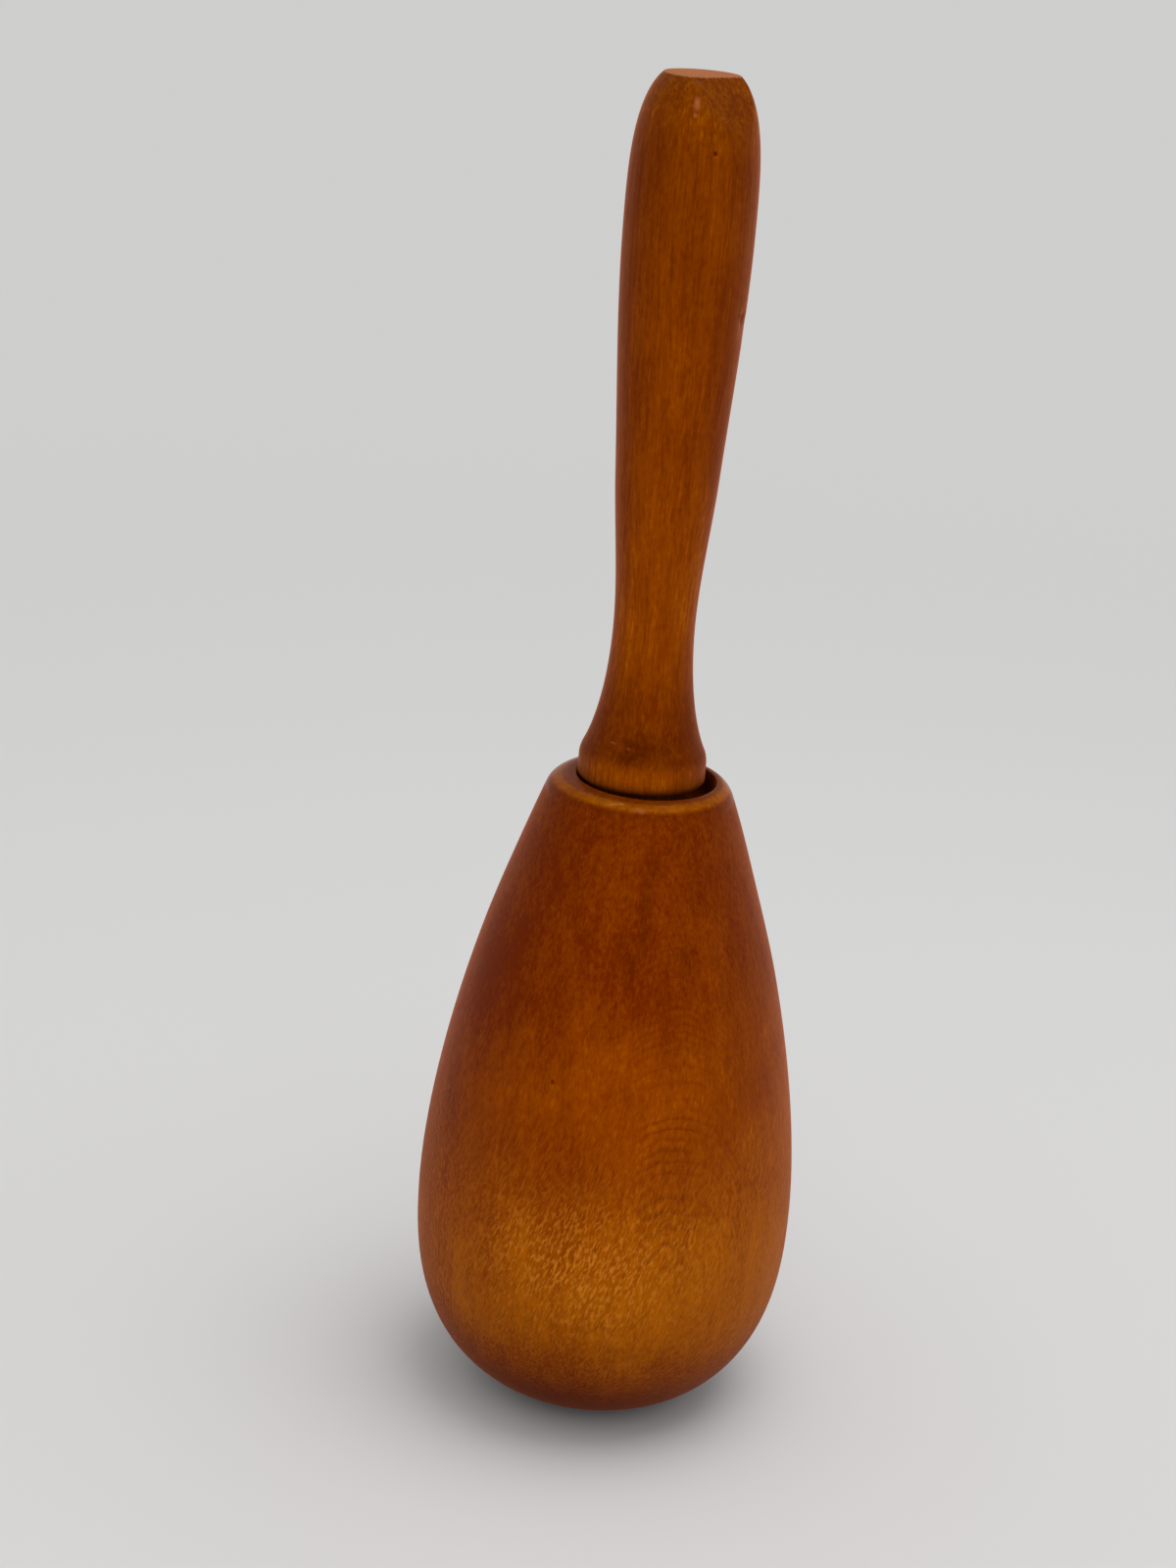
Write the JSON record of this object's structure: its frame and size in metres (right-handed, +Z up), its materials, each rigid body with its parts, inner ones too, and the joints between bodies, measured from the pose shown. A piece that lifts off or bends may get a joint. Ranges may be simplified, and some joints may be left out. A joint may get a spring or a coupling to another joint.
{
  "type": "darning egg",
  "caption": "Turned wooden darning egg that stands on a small flat base, with a slim turned handle that draws out of its top.",
  "frame": {"origin": "centre of the small flat base, on the surface that the egg stands on", "axes": "+Z up the egg's axis towards the flat top of the handle, +X to the right as seen in the picture, and -Y towards its viewer"},
  "size_m": [0.047, 0.047, 0.165],
  "materials": {
    "egg_wood": "stained and varnished close-grained wood, satin",
    "handle_wood": "stained and varnished close-grained wood, satin, worn at the top"
  },
  "bodies": {
    "egg": {"egg": "egg_wood"},
    "handle": {"handle": "handle_wood"}
  },
  "joints": [
    {"name": "handle_draw", "type": "slide", "parent": "egg", "child": "handle", "axis": [0, 0, 1], "range_m": [0, 0.03]}
  ]
}
